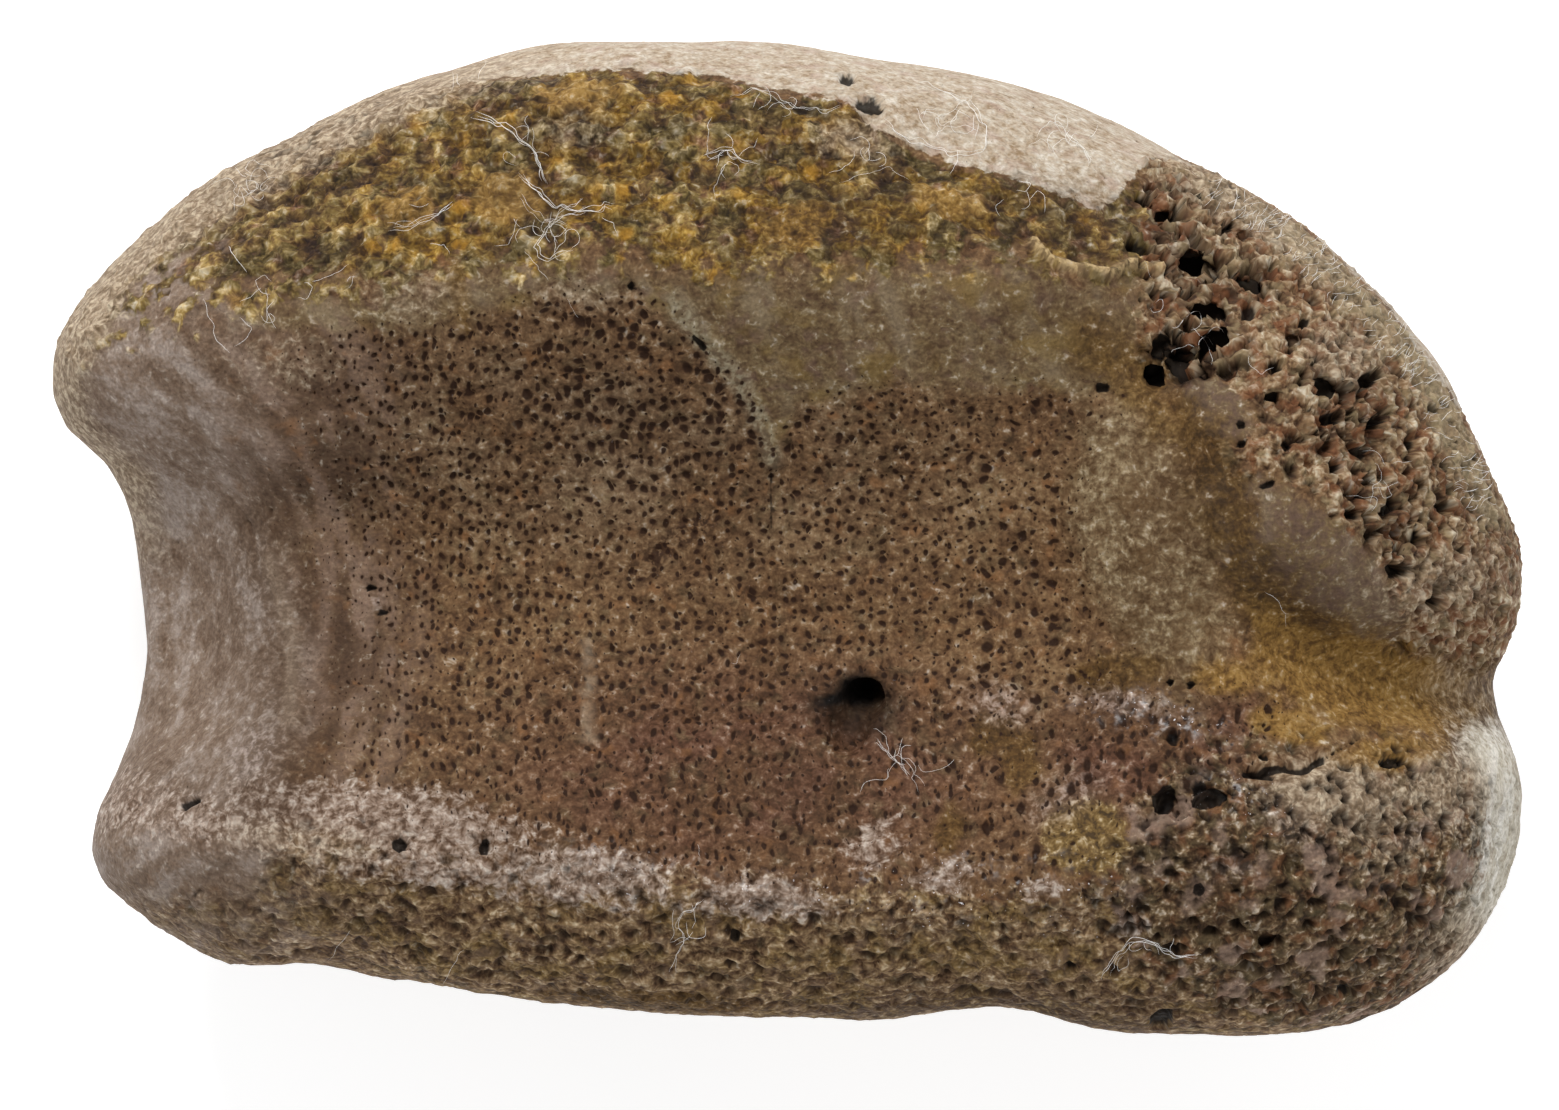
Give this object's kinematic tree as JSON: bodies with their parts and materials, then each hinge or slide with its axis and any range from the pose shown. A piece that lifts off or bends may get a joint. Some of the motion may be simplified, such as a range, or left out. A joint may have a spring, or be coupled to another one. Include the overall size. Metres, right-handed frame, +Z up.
{
  "type": "fossil dinosaur toe bone",
  "caption": "Short, wide fossil phalanx lying on its underside: domed distal end, hollowed waist with a vessel hole, and a dished joint end.",
  "frame": {"origin": "on the table, under the middle of the bone's outline", "axes": "+X across the bone, towards the notched side; +Y along the toe, towards the domed distal end; +Z up, through the pored upper side"},
  "size_m": [0.05, 0.0338, 0.0251],
  "materials": {
    "fossil_bone": "dull, finely porous mineralised bone, brown with ochre sediment, glinting in places"
  },
  "bodies": {
    "root": {"toe_bone": "fossil_bone"}
  },
  "joints": []
}
